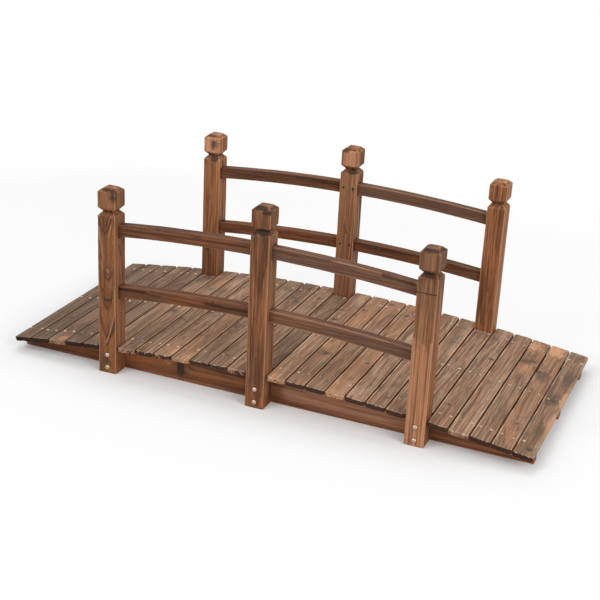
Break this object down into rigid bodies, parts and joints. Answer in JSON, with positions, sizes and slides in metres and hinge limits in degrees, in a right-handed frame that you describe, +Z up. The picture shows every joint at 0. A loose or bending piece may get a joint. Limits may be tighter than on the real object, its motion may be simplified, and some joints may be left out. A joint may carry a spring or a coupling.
{
  "type": "moon bridge",
  "caption": "Low arched garden bridge of charred fir: boards across arched stringers, posts with carved heads, and arched upper and lower rails on both sides.",
  "frame": {"origin": "on the ground, under the middle of the bridge, on the middle stringer's flat bottom face", "axes": "+X along the bridge, from the left end to the right end; +Y across it, from the front side to the back side; +Z up"},
  "size_m": [1.4996, 0.673, 0.559],
  "materials": {
    "deck_boards": "charred and brushed fir, oiled, grey-brown with warm streaks and dark knots",
    "stringers": "charred and brushed fir, reddish brown",
    "posts": "charred and brushed fir, warm brown with dark grain",
    "rails": "charred and brushed fir, dark brown"
  },
  "bodies": {
    "root": {"deck_board_01": "deck_boards", "deck_board_02": "deck_boards", "deck_board_03": "deck_boards", "deck_board_04": "deck_boards", "deck_board_05": "deck_boards", "deck_board_06": "deck_boards", "deck_board_07": "deck_boards", "deck_board_08": "deck_boards", "deck_board_09": "deck_boards", "deck_board_10": "deck_boards", "deck_board_11": "deck_boards", "deck_board_12": "deck_boards", "deck_board_13": "deck_boards", "deck_board_14": "deck_boards", "deck_board_15": "deck_boards", "deck_board_16": "deck_boards", "deck_board_17": "deck_boards", "deck_board_18": "deck_boards", "deck_board_19": "deck_boards", "deck_board_20": "deck_boards", "deck_board_21": "deck_boards", "deck_board_22": "deck_boards", "deck_board_23": "deck_boards", "deck_board_24": "deck_boards", "deck_board_25": "deck_boards", "deck_board_26": "deck_boards", "deck_board_27": "deck_boards", "stringer_front": "stringers", "stringer_middle": "stringers", "stringer_back": "stringers", "post_front_left": "posts", "post_front_middle": "posts", "post_front_right": "posts", "post_back_left": "posts", "post_back_middle": "posts", "post_back_right": "posts", "rail_front_upper_left": "rails", "rail_front_upper_right": "rails", "rail_front_lower_left": "rails", "rail_front_lower_right": "rails", "rail_back_upper_left": "rails", "rail_back_upper_right": "rails", "rail_back_lower_left": "rails", "rail_back_lower_right": "rails"}
  },
  "joints": []
}
